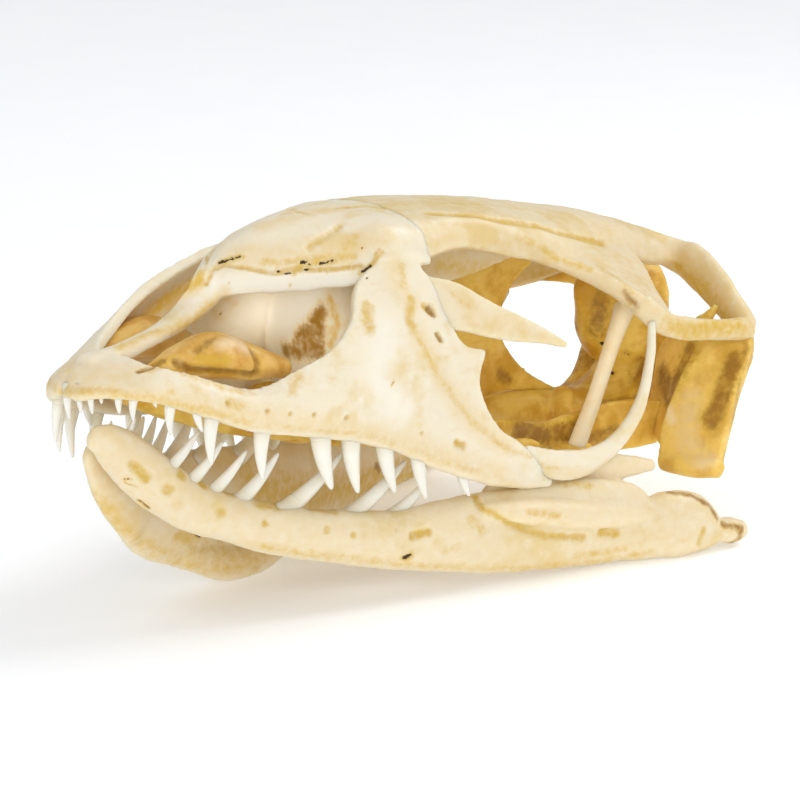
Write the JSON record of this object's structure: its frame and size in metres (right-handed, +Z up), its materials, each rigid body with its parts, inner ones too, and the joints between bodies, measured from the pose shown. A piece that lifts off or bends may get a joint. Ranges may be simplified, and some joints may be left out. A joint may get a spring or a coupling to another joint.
{
  "type": "monitor lizard skull",
  "caption": "Cleaned monitor lizard skull with its cranium resting on the two separate lower jaw rami, a natural history display piece.",
  "frame": {"origin": "centre of the footprint of the bounding box, on the ground the lower jaw stands on", "axes": "+X towards the back of the skull (snout at -X), +Y towards the animal's right side, +Z up"},
  "size_m": [0.0932, 0.0526, 0.0426],
  "materials": {
    "jaw_bone": "dry bone, satin, pale cream with glossy teeth",
    "roof_bone": "dry bone, satin, cream with ochre creases",
    "rear_bone": "dry bone, satin, ochre to brown",
    "nasal_bone": "thin dry bone, orange brown"
  },
  "bodies": {
    "root": {"snout": "jaw_bone", "skull_roof": "roof_bone", "septum": "rear_bone", "braincase": "rear_bone", "palate_left": "rear_bone", "jugal_left": "jaw_bone", "quadrate_left": "rear_bone", "epipterygoid_left": "rear_bone", "palpebral_left": "jaw_bone", "septomaxilla_left": "nasal_bone", "mandible_left": "jaw_bone", "palate_right": "rear_bone", "jugal_right": "jaw_bone", "quadrate_right": "rear_bone", "epipterygoid_right": "rear_bone", "palpebral_right": "jaw_bone", "septomaxilla_right": "nasal_bone", "mandible_right": "jaw_bone"}
  },
  "joints": []
}
